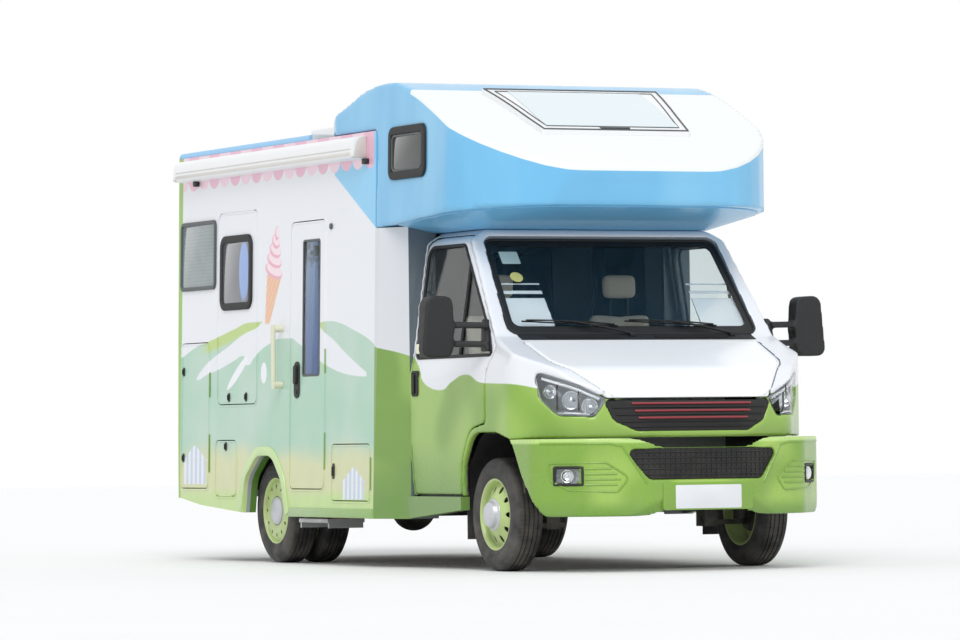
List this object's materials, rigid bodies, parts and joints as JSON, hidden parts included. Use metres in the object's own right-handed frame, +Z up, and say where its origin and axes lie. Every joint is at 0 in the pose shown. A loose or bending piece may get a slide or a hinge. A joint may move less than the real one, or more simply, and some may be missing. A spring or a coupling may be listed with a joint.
{
  "type": "ice cream truck",
  "caption": "Motorhome-bodied ice cream truck: van cab under a hump-backed sleeping alcove, box body with entry door, serving hatch, lockers, side awning case and twin rear wheels.",
  "frame": {"origin": "on the ground under the middle of the truck, half way between the two bumpers", "axes": "+X forwards, +Y to the left side, +Z up"},
  "size_m": [5.88, 2.76, 3.0516],
  "materials": {
    "chassis_black": "satin black chassis paint",
    "engine_metal": "cast alloy",
    "rim_green": "gloss lime green enamel",
    "tyre_rubber": "black rubber",
    "black_plastic": "grained black",
    "floor_board": "sealed plywood",
    "wall_paint": "gloss white with painted scene",
    "green_paint": "gloss lime green",
    "blue_paint": "gloss sky blue",
    "white_paint": "gloss white",
    "mint_paint": "gloss mint green",
    "skylight_acrylic": "tinted acrylic in a grey frame",
    "white_plastic": "white moulding",
    "seat_fabric": "beige upholstery",
    "window_glass": "clear with a green tint",
    "window_acrylic": "dark tinted acrylic",
    "lamp_lens": "clear lens over a reflector",
    "red_lens": "red lens",
    "step_metal": "ribbed alloy"
  },
  "bodies": {
    "truck": {"chassis_frame": "chassis_black", "engine_block": "engine_metal", "front_axle": "chassis_black", "rear_axle": "chassis_black", "fuel_tank": "black_plastic", "box_floor": "floor_board", "right_wall": "wall_paint", "left_wall": "wall_paint", "rear_wall": "green_paint", "roof": "wall_paint", "box_cheeks": "green_paint", "alcove": "blue_paint", "alcove_underside": "blue_paint", "skylight": "skylight_acrylic", "roof_units": "white_plastic", "cab_shell": "green_paint", "cab_floor": "chassis_black", "dashboard": "black_plastic", "seats": "seat_fabric", "windscreen": "window_glass", "front_bumper": "green_paint", "grilles": "black_plastic", "front_lamps": "lamp_lens", "wheel_housings": "black_plastic", "box_windows": "window_acrylic", "awning_case": "white_plastic", "grab_handle": "white_plastic", "tail_lamps": "red_lens", "rear_bumper": "white_plastic"},
    "steer_left": {"knuckle_left": "chassis_black"},
    "steer_right": {"knuckle_right": "chassis_black"},
    "front_wheel_left": {"front_rim_left": "rim_green", "front_tyre_left": "tyre_rubber"},
    "front_wheel_right": {"front_rim_right": "rim_green", "front_tyre_right": "tyre_rubber"},
    "rear_wheels_left": {"rear_rims_left": "rim_green", "rear_tyres_left": "tyre_rubber"},
    "rear_wheels_right": {"rear_rims_right": "rim_green", "rear_tyres_right": "tyre_rubber"},
    "cab_door_left": {"cab_door_left": "green_paint", "door_glass_left": "window_glass", "mirror_left": "black_plastic"},
    "cab_door_right": {"cab_door_right": "green_paint", "door_glass_right": "window_glass", "mirror_right": "black_plastic"},
    "bonnet": {"bonnet": "white_paint"},
    "entry_door": {"entry_door": "white_paint", "entry_door_glass": "window_glass"},
    "service_hatch": {"service_hatch": "white_paint", "hatch_window": "window_acrylic"},
    "rear_locker": {"rear_locker_door": "mint_paint"},
    "service_flap": {"service_flap": "mint_paint"},
    "front_locker": {"front_locker_door": "mint_paint"},
    "entry_step": {"entry_step": "step_metal"}
  },
  "joints": [
    {"name": "steering_left", "type": "hinge", "parent": "truck", "child": "steer_left", "pos_m": [1.89, 0.76, 0.345], "axis": [0, 0, 1], "range_deg": [-35, 35]},
    {"name": "steering_right", "type": "hinge", "parent": "truck", "child": "steer_right", "pos_m": [1.89, -0.76, 0.345], "axis": [0, 0, 1], "range_deg": [-35, 35]},
    {"name": "front_wheel_left_spin", "type": "hinge", "parent": "steer_left", "child": "front_wheel_left", "pos_m": [1.89, 0.835, 0.345], "axis": [0, 1, 0], "continuous": true},
    {"name": "front_wheel_right_spin", "type": "hinge", "parent": "steer_right", "child": "front_wheel_right", "pos_m": [1.89, -0.835, 0.345], "axis": [0, 1, 0], "continuous": true},
    {"name": "rear_wheels_left_spin", "type": "hinge", "parent": "truck", "child": "rear_wheels_left", "pos_m": [-1.41, 0.8, 0.345], "axis": [0, 1, 0], "continuous": true},
    {"name": "rear_wheels_right_spin", "type": "hinge", "parent": "truck", "child": "rear_wheels_right", "pos_m": [-1.41, -0.8, 0.345], "axis": [0, 1, 0], "continuous": true},
    {"name": "cab_door_left_swing", "type": "hinge", "parent": "truck", "child": "cab_door_left", "pos_m": [2.013, 1, 1], "axis": [0, 0, -1], "range_deg": [0, 68]},
    {"name": "cab_door_right_swing", "type": "hinge", "parent": "truck", "child": "cab_door_right", "pos_m": [2.013, -1, 1], "axis": [0, 0, 1], "range_deg": [0, 68]},
    {"name": "bonnet_lift", "type": "hinge", "parent": "truck", "child": "bonnet", "pos_m": [2.062, 0, 1.391], "axis": [0, -1, 0], "range_deg": [0, 55]},
    {"name": "entry_door_swing", "type": "hinge", "parent": "truck", "child": "entry_door", "pos_m": [-0.3, -1.1124, 1], "axis": [0, 0.021, 0.9998], "range_deg": [0, 90]},
    {"name": "service_hatch_lift", "type": "hinge", "parent": "truck", "child": "service_hatch", "pos_m": [-1.805, -1.0842, 2.345], "axis": [-1, 0, 0], "range_deg": [0, 90]},
    {"name": "rear_locker_swing", "type": "hinge", "parent": "truck", "child": "rear_locker", "pos_m": [-2.32, -1.1145, 0.9], "axis": [0, 0.021, 0.9998], "range_deg": [0, 90]},
    {"name": "service_flap_drop", "type": "hinge", "parent": "truck", "child": "service_flap", "pos_m": [-1.995, -1.1241, 0.444], "axis": [1, 0, 0], "range_deg": [0, 90]},
    {"name": "front_locker_swing", "type": "hinge", "parent": "truck", "child": "front_locker", "pos_m": [0.445, -1.1208, 0.6], "axis": [0, 0.021, 0.9998], "range_deg": [0, 90]},
    {"name": "entry_step_slide", "type": "slide", "parent": "truck", "child": "entry_step", "axis": [0, -1, 0], "range_m": [0, 0.25]}
  ],
  "couplings": [
    {"joint": "steering_left", "follows": "steering_right", "ratio": 1}
  ]
}
